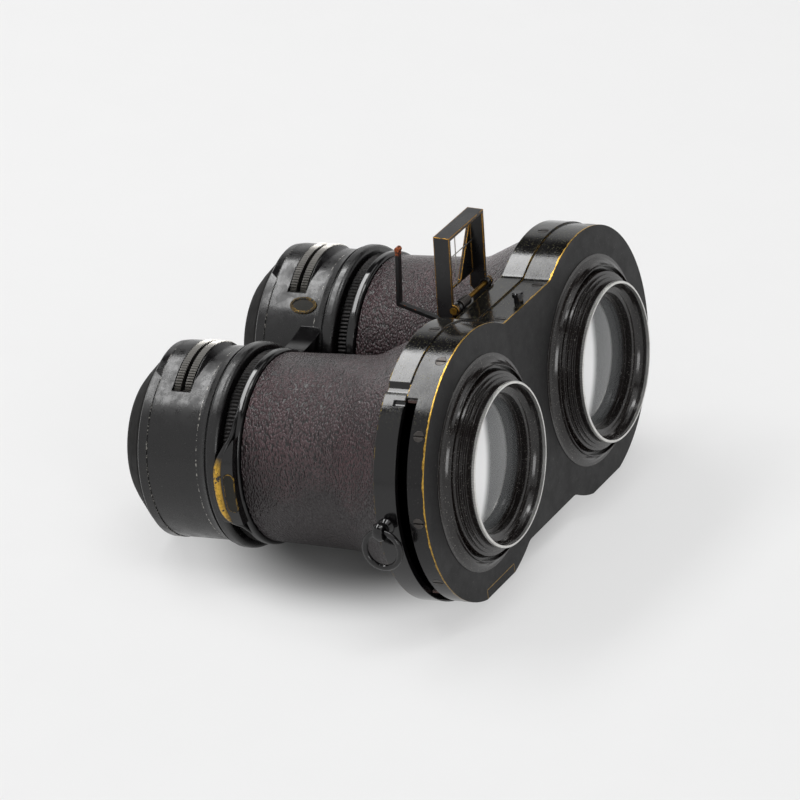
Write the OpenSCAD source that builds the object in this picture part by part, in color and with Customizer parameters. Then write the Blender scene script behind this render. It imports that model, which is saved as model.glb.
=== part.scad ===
// Twin-barrel plate camera in the shape of a field glass, about 1900.
// The large figure-of-eight end takes the glass plates behind the object lenses. The eyepiece
// drums carry turret wheels with an eye lens and a taking lens, and wheels with round stops.
// Everything is first laid out along the optical axes: y = 0 is the front edge of the lens
// rings, +Y runs towards the eyepieces, and the left barrel lies at -X, as seen from the front.
// seat() then lays the camera on the table, on the band's rear edge and the two drum rims.

/* [Body] */
// Distance between the two optical axes
axis_gap = 64; // [62:0.5:66]
// Radius of each lobe of the figure-of-eight front
lobe_r = 34.2; // [33:0.1:36]
// Height of the flat waist above the optical axes
waist_h = 29; // [28:0.1:30.5]
// Depth of the flats under the lobes below the optical axes
foot_h = 33.2; // [32.4:0.1:33.9]
// Radius of the hollow corners between waist and lobes
corner_r = 4; // [2:0.5:5]
// Depth of the front cover along the axes
cover_d = 7.5; // [7:0.1:8.5]
// Wall of the front cover
cover_t = 1.5; // [1.2:0.1:2]
// How far the body band stands proud of the cover
band_proud = 0.4; // [0.2:0.1:0.8]
// Length of the body band behind the cover
band_d = 5.8; // [5:0.1:8]
// Wall of the body band
band_t = 1.6; // [1.3:0.1:2]
// Thickness of the body's rear wall
back_t = 1.4; // [1.2:0.1:1.8]
// Width of the slot for the plate holder
slot_w = 3; // [2.6:0.1:3.4]
// Half height of the slot for the plate holder
slot_h = 25.5; // [24:0.5:25.8]
// Thickness of the rails above and below the slot
rail_t = 1.4; // [1:0.1:1.6]

/* [Lens mounts] */
// Height of a lens mount in front of the cover
mount_h = 6.75; // [6:0.25:8]
// Radius of the mount's foot
mount_foot_r = 26.9; // [26:0.1:27.5]
// Radius of the bore in the cover that a mount stands in
mount_bore_r = 21; // [20.5:0.1:22]
// Outer radius of the front ring
ring_r = 20.45; // [20:0.05:20.8]
// Wall of the front ring
ring_t = 0.65; // [0.5:0.05:0.9]
// Length of the front ring
ring_d = 0.8; // [0.6:0.05:1.2]
// Clear radius in front of the object glass
glass_r = 16.4; // [15.5:0.1:16.8]
// Depth of the object glass behind the front ring
glass_y = 5.7; // [5.4:0.1:6.2]
// Number of ridges round the front ring
ring_ridges = 180; // [60:10:200]

/* [Barrels] */
// Length of a barrel from the band to its rear shoulder
barrel_len = 41.9; // [38:0.5:46]
// Length of the flared front part of a barrel
flare_len = 15; // [12:0.5:18]
// Radius of the leather at the wide end
flare_r = 32.3; // [31.5:0.1:32.9]
// Radius of the leather where the flare ends
neck_r = 24.8; // [24.4:0.1:25.6]
// Radius of the leather at the shoulder
shoulder_r = 23.5; // [23.2:0.1:24]
// Thickness of the leather
leather_t = 0.9; // [0.6:0.1:1.2]
// Wall of the metal barrel
barrel_t = 1.1; // [0.9:0.1:1.4]
// How much smaller the rear sleeve is than a drum, on the radius
sleeve_in = 3; // [2.8:0.1:3.2]
// Wall of the rear sleeve
sleeve_t = 0.9; // [0.8:0.1:1.1]

/* [Focusing] */
// Width of the focusing ring's flange
flange_w = 2.5; // [2.2:0.1:2.8]
// Width of the ridged part of the focusing ring
grip_w = 2.3; // [2:0.1:2.4]
// How far the flange stands proud of a drum's shell
flange_up = 0.2; // [0:0.05:0.4]
// How far the ridged part lies below the flange
grip_in = 0.5; // [0.3:0.05:0.8]
// Number of ridges round the focusing ring
grip_ridges = 150; // [60:10:180]
// Gap between the ridged part and the drum at rest
focus_gap = 0.75; // [0.7:0.05:1.2]
// Thickness of the finger tab
tab_t = 0.9; // [0.8:0.1:1.2]
// Length of the finger tab past the flange
tab_len = 4.1; // [3.4:0.1:4.3]
// Half width of the finger tab at its root
tab_h = 10.5; // [9:0.5:12]

/* [Drums] */
// Outer radius of a drum
drum_r = 24.2; // [24:0.1:24.5]
// Wall of a drum
drum_t = 1.3; // [1.1:0.1:1.5]
// Length of the plain front collar of a drum
collar_w = 3.1; // [2.8:0.1:3.4]
// How far the collar stands proud of the drum
collar_up = 1.5; // [1:0.05:1.7]
// Width of the bevel behind the collar
bevel_w = 2.8; // [2:0.1:3]
// Distance from the front of a drum to the rim
drum_len = 20.2; // [20:0.1:21]
// How far the rim stands proud of a drum
rim_up = 0.2; // [0:0.05:0.5]
// Width of the rim
rim_w = 2.6; // [2.2:0.1:2.8]
// Height of the eyecup behind the rim
cup_h = 6.8; // [6:0.1:7.5]
// Radius of the eyecup's rear edge
cup_r = 17.2; // [16.5:0.1:18]
// Radius of the eye opening
eye_r = 6.5; // [6:0.1:7]
// Distance from the drum's front to its inner wall
wall_y = 7; // [6.8:0.1:7.3]
// Thickness of the inner wall
wall_t = 2; // [1.6:0.1:2.1]

/* [Wheels] */
// Height of the wheels' axle above the optical axis
wheel_up = 7.7; // [7.5:0.1:7.9]
// How far the wheels stand out of the drums
wheel_out = 1.7; // [1.5:0.1:1.9]
// Thickness of a wheel
wheel_t = 1.8; // [1.6:0.1:2.1]
// Gap between the two wheels
wheel_gap = 1.1; // [0.8:0.1:1.3]
// Gap between the inner wall and the stop wheel
wheel_lead = 2.1; // [1.9:0.1:2.3]
// Number of ridges round a wheel
wheel_ridges = 150; // [60:10:180]
// Radius of the wheels' axle
axle_r = 1.5; // [1.3:0.1:1.6]
// Radius of the lenses in the turret
eye_lens_r = 4.5; // [4:0.1:4.6]
// Length of the lens cells behind the turret
cell_len = 3.2; // [2.5:0.1:3.4]

/* [Shutter] */
// Distance of the shutter pivot from the optical axis
pivot_x = 16; // [15.5:0.25:16.5]
// Radius of a shutter blade
blade_r = 7.5; // [7:0.1:7.8]
// Thickness of a shutter blade
blade_t = 0.5; // [0.4:0.1:0.6]

/* [Finder] */
// Width of the finder frame
finder_w = 20; // [18:0.5:21]
// Height of the finder frame above its hinge
finder_h = 19; // [17:0.2:20]
// Depth of the finder frame
finder_d = 4.3; // [3.6:0.1:5]
// Thickness of the finder's sheet metal
sheet_t = 0.8; // [0.6:0.1:1]
// Height of the hinge above the waist
hinge_up = 1; // [0.9:0.1:1.6]
// Distance of the hinge behind the band
hinge_back = 1.8; // [1.7:0.1:2.2]
// Angle that the finder frame leans towards the lenses
finder_lean = 4; // [0:0.5:6]
// Radius of the hinge pin
pin_r = 0.6; // [0.5:0.05:0.7]
// Thickness of the cross wires
wire_t = 0.3; // [0.2:0.05:0.4]
// Height of the rear sight's post
post_h = 14.7; // [12:0.1:15]
// Length of the rear sight's foot
sight_len = 19.2; // [17:0.1:20]
// Width of the rear sight's strip
sight_w = 1.6; // [1.2:0.1:1.8]

/* [Fittings] */
// Radius of a screw head
screw_r = 1.4; // [1.2:0.1:1.5]
// Radius of a strap ring at its wire's centre
strap_r = 4.7; // [4.2:0.1:5.2]
// Radius of the strap ring's wire
strap_wire_r = 0.75; // [0.6:0.05:0.85]
// Radius of the ball on a strap stud
stud_ball_r = 2.3; // [2.2:0.1:2.5]
// Radius of the catch button's head
button_r = 1.5; // [1.2:0.05:1.6]
// Height of the catch button
button_h = 2.7; // [2.3:0.1:3]

/* [Fits] */
// Clearance of a turning or sliding fit, on the radius
run = 0.05; // [0.03:0.01:0.08]
// Gap between curved faces that lie on each other
skin = 0.03; // [0.02:0.01:0.05]

/* [Hidden] */
$fn = 96;
LEFT = -1;
RIGHT = 1;
half = axis_gap/2;
// A length that reaches past every solid, for cuts
far = 200;
// Overlap of a cut past a face, and of parts fused in one solid
eps = 0.05;

// Stations along the optical axes
y_cover = mount_h;
y_band = y_cover + cover_d;
y_slot = y_band - slot_w;
y_back = y_band + band_d;
y_shoulder = y_back + barrel_len;
y_grip = y_shoulder + flange_w;
y_drum = y_grip + grip_w + focus_gap;
y_wall = y_drum + wall_y;
y_stop = y_wall + wall_t + wheel_lead;
y_turret = y_stop + wheel_t + wheel_gap;
y_rim = y_drum + drum_len;
y_drum_end = y_rim + rim_w;
y_cup = y_drum_end + cup_h;
cover_face_t = 1.4;
foot_z = -foot_h - band_proud;

// Radii that follow the drums
sleeve_r = drum_r - sleeve_in;
flange_r = drum_r + flange_up;
grip_r = flange_r - grip_in;
collar_r = drum_r + collar_up;
rim_r = drum_r + rim_up;
wheel_r = drum_r + wheel_out - wheel_up;

// Resting tilt: the rear edge of the band and the ends of the drum rims touch the table
tilt = atan((-foot_z - rim_r)/(y_drum_end - y_back));
lift = y_back*sin(tilt) - foot_z*cos(tilt);
front_y = -ring_r*sin(tilt);
rear_y = y_cup*cos(tilt) + cup_r*sin(tilt);

BLACK = "#1d1d1f";
DULL = "#2b2a2a";
BRASS = "#a98746";
STEEL = "#b4b4b0";
LEATHER = "#3a2f31";
GLASS = "#b9c4c8";

// Placing

// Lays the camera on the table with the middle of its footprint at the origin
module seat() {
  translate([0, -(front_y + rear_y)/2, lift]) rotate([-tilt, 0, 0]) children();
}

// Puts a shape on one barrel's axis, with local +X pointing away from the other barrel
module at_side(s) {
  translate([s*half, 0, 0])
    if (s < 0) mirror([1, 0, 0]) children();
    else children();
}

// Revolves a profile of [radius, station] points round the optical axis
module turned(profile) {
  rotate([-90, 0, 0]) rotate_extrude() polygon(profile);
}

// Points of a quarter round that leaves p along the radius and reaches q along the axis
function round_in(p, q) = [for (a = [0:18:90])
  [p[0] + (q[0] - p[0])*sin(a), p[1] + (q[1] - p[1])*(1 - cos(a))]];

// Points of a quarter round that leaves p along the axis and reaches q along the radius
function round_out(p, q) = [for (a = [0:18:90])
  [p[0] + (q[0] - p[0])*(1 - cos(a)), p[1] + (q[1] - p[1])*sin(a)]];

// Drum, tube and ring between two stations
module rod(r, y0, y1) {
  translate([0, y0, 0]) rotate([-90, 0, 0]) cylinder(r = r, h = y1 - y0);
}

module tube(r, bore, y0, y1) {
  difference() {
    rod(r, y0, y1);
    rod(bore, y0 - eps, y1 + eps);
  }
}

// Extrudes a flat shape, drawn in x and z, from station y0 to y1
module slab(y0, y1) {
  translate([0, y1, 0]) rotate([90, 0, 0]) linear_extrude(height = y1 - y0) children();
}

// Holds a shape, drawn along +X, at an angle above the outward direction of a barrel
module radial(angle, r, y) {
  translate([0, y, 0]) rotate([0, -angle, 0]) translate([r, 0, 0]) children();
}

// The figure-of-eight outline, grown or shrunk by a distance: two lobes, and between them
// a web whose four hollow corners are round
module eight(grow) {
  r = lobe_r + grow;
  h = waist_h + grow;
  f = max(corner_r - grow, 0.5);
  cx = half - sqrt(pow(r + f, 2) - pow(h + f, 2));
  touch = [half + (cx - half)*r/(r + f), (h + f)*r/(r + f)];
  corner = [[half, 0], touch, [cx, h + f], [cx, h]];
  intersection() {
    union() {
      for (s = [LEFT, RIGHT]) translate([s*half, 0]) circle(r = r);
      difference() {
        polygon(concat(corner, [for (i = [3:-1:0]) [-corner[i][0], corner[i][1]]],
          [for (i = [1:3]) -corner[i]], [for (i = [3:-1:1]) [corner[i][0], -corner[i][1]]]));
        for (s = [LEFT, RIGHT], t = [-1, 1]) translate([s*cx, t*(h + f)]) circle(r = f);
      }
    }
    translate([-far/2, -foot_h - grow]) square([far, far]);
  }
}

// A disc with straight ridges round its edge, as a flat shape
module ridged(r, count, depth) {
  polygon([for (i = [0:2*count - 1])
    let (a = 180*i/count, q = r - (i % 2)*depth) [q*cos(a), q*sin(a)]]);
}

// A flat-headed slotted screw whose head lies flush at x = 0, with its shank towards -X
screw_shank_r = 0.6;
screw_head_t = 0.7;
screw_len = 2.6;
slot_t = 0.4;

module screw() {
  difference() {
    rotate([0, -90, 0]) union() {
      cylinder(r1 = screw_r, r2 = screw_shank_r, h = screw_head_t);
      cylinder(r = screw_shank_r, h = screw_len);
    }
    translate([-slot_t + eps, -far/2, -slot_t/2]) cube([far, far, slot_t]);
  }
}

module screw_hole() {
  rotate([0, -90, 0]) rotate_extrude()
    polygon([[0, -eps], [screw_r + skin + eps, -eps], [screw_shank_r + skin, screw_head_t + skin],
      [screw_shank_r + skin, screw_len + eps], [0, screw_len + eps]]);
}

// Body

cover_angles = [69, 34, -2, -35, -66];
waist_screw_x = 11;
cover_screw_y = y_cover + (y_slot - y_cover)/2;
band_screw_y = y_back - band_d*0.66;
band_angles = [90, -72];
frame_t = 1.7;

// Every place of a screw through the cover's wall
module at_cover_screws() {
  for (s = [LEFT, RIGHT]) {
    at_side(s) for (a = cover_angles) radial(a, lobe_r, cover_screw_y) children();
    translate([s*waist_screw_x, cover_screw_y, waist_h]) rotate([0, -90, 0]) children();
    translate([s*waist_screw_x, cover_screw_y, -waist_h]) rotate([0, 90, 0]) children();
  }
}

module at_band_screws() {
  for (s = [LEFT, RIGHT]) at_side(s) {
    radial(band_angles[0], lobe_r + band_proud, band_screw_y) children();
    radial(band_angles[1], lobe_r + band_proud, band_screw_y) children();
  }
}

// The catch button's stem, its travel, and the room it needs below
stem_r = button_r - 0.35;
catch_travel = 1;

module catch_bore() {
  translate([0, cover_screw_y, waist_h - cover_t - frame_t - 1.3 - catch_travel])
    cylinder(r = stem_r + run, h = far);
}

// Ends of the slot for the plate holder
slot_top = slot_h + 0.6;
slot_bottom = -foot_h + 2.5;

// Flat figure-of-eight plate with a turned-back wall, which closes the plate chamber
module front_cover() {
  color(BLACK) seat() difference() {
    union() {
      slab(y_cover, y_cover + cover_face_t) difference() {
        eight(0);
        for (s = [LEFT, RIGHT]) translate([s*half, 0]) circle(r = mount_bore_r);
      }
      slab(y_cover + cover_face_t - eps, y_band) difference() {
        eight(0);
        eight(-cover_t);
      }
    }
    // Slot for the plate holder, open on the left side and towards the band
    translate([-far, y_slot, slot_bottom]) cube([far - half, slot_w + eps, slot_top - slot_bottom]);
    at_cover_screws() screw_hole();
    catch_bore();
  }
}

// Inner frame that the cover's wall is screwed to
module front_frame() {
  wall = cover_t + frame_t;
  color(DULL) seat() difference() {
    slab(y_cover + cover_face_t, y_slot) eight(-cover_t - skin);
    slab(y_cover, y_slot + eps) intersection() {
      union() {
        for (s = [LEFT, RIGHT]) translate([s*half, 0]) circle(r = lobe_r - wall);
        translate([-half, wall - waist_h]) square([axis_gap, 2*(waist_h - wall)]);
      }
      translate([-far/2, wall - foot_h]) square([far, far]);
    }
    at_cover_screws() screw_hole();
    catch_bore();
  }
}

module cover_screws() {
  color(STEEL) seat() at_cover_screws() screw();
}

module band_screws() {
  color(STEEL) seat() at_band_screws() screw();
}

// Hollows in the band at the head of the slot: a wide one for the nail, and a small one below
nail_angle = 53.5;
nail_r = 2.4;
nail_d = 0.9;
hook_angle = 46.8;
hook_r = 0.9;
hook_d = 0.6;
hook_w = 2.9;
plug_r = flare_r - leather_t - barrel_t;

module body_frame() {
  color(BLACK) seat() difference() {
    union() {
      difference() {
        slab(y_band, y_back) eight(band_proud);
        slab(y_band - eps, y_back - back_t) eight(band_proud - band_t);
      }
      finder_lug();
    }
    at_side(LEFT) radial(nail_angle, lobe_r + band_proud - nail_d + nail_r, 0)
      rod(nail_r, y_band - eps, y_back + eps);
    at_side(LEFT) radial(hook_angle, lobe_r + band_proud - hook_d + hook_r, 0)
      rod(hook_r, y_band - eps, y_band + hook_w);
    for (s = [LEFT, RIGHT]) at_side(s) rod(plug_r, y_band, y_back + eps);
    at_band_screws() screw_hole();
    sight_bore();
  }
}

// Rails that guide the plate holder behind the object lenses, with tongues into the slot
rail_x = half + lobe_r*0.41;
rail_d = slot_w + 1.2;
tongue = 4;

module plate_rails() {
  post_y = y_slot + rail_d - eps;
  color(DULL) seat() for (z = [slot_h, -slot_h - rail_t]) {
    translate([-rail_x, y_slot + skin, z]) cube([2*rail_x, rail_d - skin, rail_t]);
    translate([-rail_x - tongue, y_slot + skin, z]) cube([tongue + 1, slot_w - 0.15, rail_t]);
    // Posts that carry the rails on the rear wall
    for (s = [LEFT, 0, RIGHT]) translate([s*rail_x*0.42 - 1.5, post_y, z])
      cube([3, y_back - back_t - skin - post_y, rail_t]);
  }
}

// Velvet strips that keep the light out of the slot
velvet_t = 0.6;
velvet_l = 18;

module slot_velvet() {
  color("#6b3a34") seat() for (z = [slot_h - velvet_t - skin, -slot_h + skin])
    translate([-rail_x - 2*tongue, y_slot + 0.1, z]) cube([velvet_l, slot_w - 0.3, velvet_t]);
}

// Lens mounts

seat_r = glass_r + 1.2;
collar_step = 0.75;
glass_t = 3.2;
glass_edge_y = glass_y + 0.3;
holder_w = 1.2;
mount_end = glass_edge_y + glass_t + holder_w + 0.1;

// Plain nose behind the front ring, which a push-on cap fits over
nose_r = ring_r + skin;
nose_y = ring_d + 1.5;
groove_r = ring_r + 2.7;
crest_r = ring_r + 3.7;
crest_y = mount_h*0.66;

// Flared mount with stepped collars, from its foot on the cover to the front ring
module mount() {
  difference() {
    turned(concat([
      [0, ring_d], [nose_r, ring_d], [nose_r, nose_y],
      [ring_r + collar_step, nose_y + 0.2], [ring_r + collar_step, mount_h*0.46],
      [ring_r + 2*collar_step, mount_h*0.48], [ring_r + 2*collar_step, mount_h*0.58],
      [ring_r + 2.9*collar_step, mount_h*0.6], [ring_r + 3.1*collar_step, mount_h*0.68],
      [groove_r, mount_h*0.86], [groove_r + 0.6, mount_h*0.86], [crest_r - 0.2, crest_y]],
      round_out([crest_r, crest_y], [mount_foot_r, mount_h - 0.15]),
      [[mount_foot_r, mount_h], [mount_bore_r - skin, mount_h], [mount_bore_r - skin, mount_end],
      [0, mount_end]]));
    // Polished funnel in front of the glass
    turned(concat([[0, ring_d - eps], [ring_r - ring_t - 0.1, ring_d - eps]],
      round_out([ring_r - ring_t - 0.1, ring_d], [glass_r + 1.5, glass_y - 2.2]),
      [[glass_r + 0.9, glass_y - 2], [glass_r + 0.9, glass_y - 0.2], [glass_r, glass_y],
      [glass_r, glass_y + 0.4], [0, glass_y + 0.4]]));
    rod(seat_r, glass_y + 0.3, far);
  }
}

// Front ring with fine ridges and a polished bevel
module front_ring() {
  difference() {
    intersection() {
      slab(0, ring_d) ridged(ring_r, ring_ridges, 0.12);
      turned([[0, 0], [ring_r - ring_t/3, 0], [ring_r + 0.1, ring_d/3], [ring_r + 0.1, ring_d],
        [0, ring_d]]);
    }
    rod(ring_r - ring_t, -eps, ring_d + eps);
  }
}

// Spherical cap height for a face of radius of curvature c at edge radius e
function cap(c, e) = c - sqrt(c*c - e*e);

// Biconvex object glass: its front face bulges towards the front ring
glass_c = 62;

module object_glass() {
  e = seat_r - skin;
  rise = cap(glass_c, glass_r - 0.1);
  intersection() {
    rod(e, glass_edge_y - rise, glass_edge_y + 0.02 + glass_t);
    union() {
      rod(e, glass_edge_y + 0.02, glass_edge_y + 0.02 + glass_t);
      intersection() {
        rod(glass_r - 0.1, glass_edge_y - rise - eps, glass_edge_y + eps);
        translate([0, glass_edge_y - rise + glass_c, 0]) sphere(r = glass_c, $fn = 240);
      }
    }
  }
}

// Threaded ring that holds the glass from behind
module retaining_ring() {
  y = glass_edge_y + 0.02 + glass_t + skin;
  tube(seat_r - skin, glass_r - 0.6, y, y + holder_w);
}

module mount_left() { color(BLACK) seat() at_side(LEFT) mount(); }
module mount_right() { color(BLACK) seat() at_side(RIGHT) mount(); }
module front_ring_left() { color(STEEL) seat() at_side(LEFT) front_ring(); }
module front_ring_right() { color(STEEL) seat() at_side(RIGHT) front_ring(); }
module object_glass_left() { color(GLASS) seat() at_side(LEFT) object_glass(); }
module object_glass_right() { color(GLASS) seat() at_side(RIGHT) object_glass(); }
module retaining_ring_left() { color(BLACK) seat() at_side(LEFT) retaining_ring(); }
module retaining_ring_right() { color(BLACK) seat() at_side(RIGHT) retaining_ring(); }

// Barrels

y_neck = y_back + flare_len;
neck_blend = 3.5;
y_sleeve_front = y_shoulder - 8;
y_sleeve_end = y_grip + grip_w - 0.1;
bore_r = sleeve_r - sleeve_t;

// Outer points of the leather from its wide end back to the shoulder
function leather_line(t, y0) = [
  [flare_r - t, y0], [neck_r + 0.5 - t, y_neck - 1], [neck_r - 0.3 - t, y_neck + 1.2],
  [neck_r - 0.7 - t, y_neck + neck_blend + 1], [shoulder_r - t, y_shoulder - 0.2]];

module barrel() {
  t = leather_t + barrel_t;
  difference() {
    union() {
      turned(concat([[0, y_back + skin]], leather_line(leather_t, y_back + skin),
        [[sleeve_r, y_shoulder - 0.2], [sleeve_r, y_sleeve_end], [0, y_sleeve_end]]));
      rod(plug_r - skin, y_back - back_t, y_back + 1);
    }
    turned(concat([[0, y_back - back_t - eps], [flare_r - t - 1, y_back - back_t - eps],
      [neck_r - 0.6 - t, y_neck - 1], [neck_r - 1 - t, y_neck + neck_blend],
      [shoulder_r - t, y_sleeve_front - 1], [bore_r, y_sleeve_front], [bore_r, y_sleeve_end + eps],
      [0, y_sleeve_end + eps]]));
  }
}

// Leather cover, clipped where the two flares would meet
module leather() {
  intersection() {
    difference() {
      turned(concat([[0, y_back + 0.3]], leather_line(0, y_back + 0.3), [[0, y_shoulder - 0.2]]));
      turned(concat([[0, y_back]], leather_line(leather_t - skin, y_back), [[0, y_shoulder]]));
    }
    translate([-half + 0.15, 0, -far/2]) cube([far, far, far]);
  }
}

module barrel_left() { color(BLACK) seat() at_side(LEFT) barrel(); }
module barrel_right() { color(BLACK) seat() at_side(RIGHT) barrel(); }
module leather_left() { color(LEATHER) seat() at_side(LEFT) leather(); }
module leather_right() { color(LEATHER) seat() at_side(RIGHT) leather(); }

// Focusing rings

// Gap between the tab and the drum's collar below it
tab_gap = 0.2;
tab_r = collar_r + tab_gap;
oval_l = 10.4;
oval_w = 3;
oval_z = -1.2;
oval_t = 0.35;

// Stadium shape, drawn in y and z, standing out along +X
module stadium(y, z, len, w) {
  translate([0, y, z]) rotate([90, 0, 90]) linear_extrude(height = far) union() {
    for (t = [-1, 1]) translate([0, t*(len - w)/2]) circle(r = w/2);
    translate([-w/2, -(len - w)/2]) square([w, len - w]);
  }
}

// Ring that is turned with the finger tab: flange, ridged grip and curved tab
module focus_ring() {
  y0 = y_shoulder + 0.05;
  difference() {
    union() {
      turned(concat([[0, y0]], round_in([flange_r - 0.9, y0], [flange_r, y0 + 0.9]),
        round_out([flange_r, y_grip - 0.6], [grip_r + 0.15, y_grip]), [[0, y_grip]]));
      slab(y_grip - eps, y_grip + grip_w) ridged(grip_r, grip_ridges, 0.25);
      intersection() {
        union() {
          tube(tab_r + tab_t, flange_r - 0.9, y0 + 0.5, y_grip);
          tube(tab_r + tab_t, tab_r, y0 + 0.5, y_grip + tab_len);
        }
        rotate([90, 0, 90]) linear_extrude(height = far)
          polygon([[y0, -tab_h], [y_grip + tab_len*0.75, -tab_h*0.92], [y_grip + tab_len, -tab_h*0.6],
            [y_grip + tab_len, tab_h*0.2], [y_grip + tab_len*0.5, tab_h*0.62],
            [y0 + 1.2, tab_h*1.08], [y0, tab_h*1.2]]);
      }
    }
    rod(sleeve_r + run, y_shoulder - 1, far);
    intersection() {
      stadium(y0 + 1.8, oval_z, oval_l + 2*skin, oval_w + 2*skin);
      tube(far, tab_r + tab_t - oval_t, 0, far);
    }
  }
}

// Oval plate let into the tab
module scale_plate() {
  y0 = y_shoulder + 0.05;
  intersection() {
    stadium(y0 + 1.8, oval_z, oval_l, oval_w);
    tube(tab_r + tab_t + 0.1, tab_r + tab_t - oval_t + skin, 0, far);
  }
}

module focus_ring_left() { color(BLACK) seat() at_side(LEFT) focus_ring(); }
module focus_ring_right() { color(BLACK) seat() at_side(RIGHT) focus_ring(); }
module scale_plate_left() { color(BRASS) seat() at_side(LEFT) scale_plate(); }
module scale_plate_right() { color(BRASS) seat() at_side(RIGHT) scale_plate(); }

// Drums

shell_r = drum_r - drum_t;
y_collar = y_drum + collar_w;
groove_w = 0.6;
y_bevel = y_collar + groove_w;
y_shell = y_bevel + bevel_w;
web_y = y_drum + 1.2;
web_t = 1.4;
y_inner_sleeve = y_shoulder - 6;
wall_hole_r = wheel_up - axle_r - 0.9;
wheel_slack = 0.3;
// Fairings before and behind the wheels: how far they lie below the wheels, and the front's length
fairing_in = 0.3;
fairing_d = 1.2;
fairing_r = wheel_r - fairing_in;
y_window = y_turret + wheel_t + wheel_slack;
bridge_y0 = y_bevel + 0.1;
bridge_y1 = y_wall + wall_t + 1;

// Outer points of a drum's rounded collar, its groove and the bevel behind, grown by g
function collar_line(g) = concat(
  round_in([collar_r - 1.1 + g, y_drum], [collar_r + g, y_drum + 1.3]),
  round_out([collar_r + g, y_collar - 0.5], [collar_r - 0.4 + g, y_collar]),
  [[collar_r - 0.8 + g, y_collar], [collar_r - 0.8 + g, y_bevel]],
  round_out([collar_r - 0.4 + g, y_bevel], [collar_r - 0.7 + g, y_bevel + 0.4]),
  round_in([collar_r - 0.75 + g, y_bevel + 0.45], [drum_r + g, y_shell]));

module drum() {
  difference() {
    union() {
      turned(concat([[0, y_drum]], collar_line(0), [[drum_r, y_rim], [0, y_rim]]));
      rod(bore_r - run, y_inner_sleeve, y_drum + eps);
      // Fairings before and behind the wheels, turned about their axle
      translate([0, 0, wheel_up]) turned([[0, y_stop - wheel_slack - fairing_d],
        [wheel_r - wheel_out, y_stop - wheel_slack - fairing_d],
        [fairing_r, y_stop - wheel_slack], [fairing_r, y_rim], [0, y_rim]]);
    }
    // Hollow front with the inner sleeve left standing
    tube(shell_r, bore_r - run, y_drum - 1, web_y);
    rod(bore_r - run - 1.2, y_inner_sleeve - 1, y_wall);
    tube(shell_r, bore_r - run - 2, web_y + web_t, y_wall);
    // Light hole through the inner wall, and the seat of the axle
    rod(wall_hole_r, y_wall - 1, y_wall + wall_t + eps);
    translate([0, 0, wheel_up]) rod(axle_r, y_wall - 1, y_wall + wall_t + eps);
    translate([-pivot_x, 0, 0]) rod(1, y_wall - 1, y_wall + wall_t + eps);
    rod(shell_r, y_wall + wall_t, y_rim + eps);
    // Relief for the wheels, which opens the window that they stand out of
    translate([0, 0, wheel_up])
      rod(wheel_r + wheel_slack, y_stop - wheel_slack, y_window);
  }
}

// Saddle that joins the two drums, slightly hollowed above and below
bridge_top = 16;
bridge_hollow_r = 40;
bridge_waist = 11.4;
// Shutter button in the saddle's rear face
shutter_r = 1.3;
shutter_x = 0;
shutter_z = 4;
shutter_out = 2.4;
shutter_in = 4.6;
shutter_travel = 1.5;

module drum_bridge() {
  color(BLACK) seat() difference() {
    slab(bridge_y0, bridge_y1) difference() {
      translate([-half/2, -bridge_top]) square([half, 2*bridge_top]);
      for (s = [LEFT, RIGHT]) translate([s*half, 0]) circle(r = drum_r + skin);
      for (t = [-1, 1]) translate([0, t*(bridge_waist + bridge_hollow_r)]) circle(r = bridge_hollow_r);
    }
    // Seats over the bevels of the drums
    for (s = [LEFT, RIGHT]) at_side(s)
      turned(concat([[0, y_drum]], collar_line(skin), [[drum_r + skin, bridge_y1], [0, bridge_y1]]));
    translate([shutter_x, 0, shutter_z]) rod(shutter_r + run, bridge_y1 - shutter_in, far);
  }
}

// Sprung button behind the saddle that opens both shutter blades
module shutter_button() {
  y0 = bridge_y1 - shutter_in + shutter_travel + 0.3;
  y1 = bridge_y1 + shutter_out;
  color(STEEL) seat() translate([shutter_x, 0, shutter_z])
    turned(concat([[0, y0], [shutter_r, y0]], round_out([shutter_r, y1 - 0.5], [shutter_r - 0.5, y1]),
      [[0, y1]]));
}

module drum_left() { color(BLACK) seat() at_side(LEFT) drum(); }
module drum_right() { color(BLACK) seat() at_side(RIGHT) drum(); }

cap_in = 1.6;

// Rim and rear wall of a drum, pushed into the drum's shell
module drum_cap() {
  difference() {
    union() {
      turned([[0, y_rim - cap_in], [shell_r - skin, y_rim - cap_in], [shell_r - skin, y_rim + skin],
        [rim_r, y_rim + skin], [rim_r, y_drum_end - 0.3], [rim_r - 0.3, y_drum_end], [0, y_drum_end]]);
      // Rear end of the fairing
      translate([0, 0, wheel_up]) turned([[0, y_rim + skin], [fairing_r, y_rim + skin],
        [fairing_r - 0.3, y_drum_end - 0.5], [fairing_r - 0.8, y_drum_end], [0, y_drum_end]]);
    }
    rod(shell_r - 1.4, y_rim - cap_in - eps, y_drum_end - 1.2);
    rod(eye_r, y_rim, far);
  }
}

cup_t = 0.5;

// Black eyecup: a wide cone behind, hollowed to a dish
module eyecup() {
  turned([[eye_r, y_drum_end + skin], [rim_r - 0.5, y_drum_end + skin], [rim_r - 1.2, y_drum_end + 1],
    [cup_r + 1.6, y_cup - 1.4], [cup_r + 0.4, y_cup - 0.35], [cup_r, y_cup],
    [cup_r - 0.6, y_cup - 0.2], [cup_r - 3, y_cup - 2.2], [eye_r + 2, y_drum_end + cup_t + 0.9],
    [eye_r, y_drum_end + cup_t]]);
}

module drum_cap_left() { color(BLACK) seat() at_side(LEFT) drum_cap(); }
module drum_cap_right() { color(BLACK) seat() at_side(RIGHT) drum_cap(); }
module eyecup_left() { color(BLACK) seat() at_side(LEFT) eyecup(); }
module eyecup_right() { color(BLACK) seat() at_side(RIGHT) eyecup(); }

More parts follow.
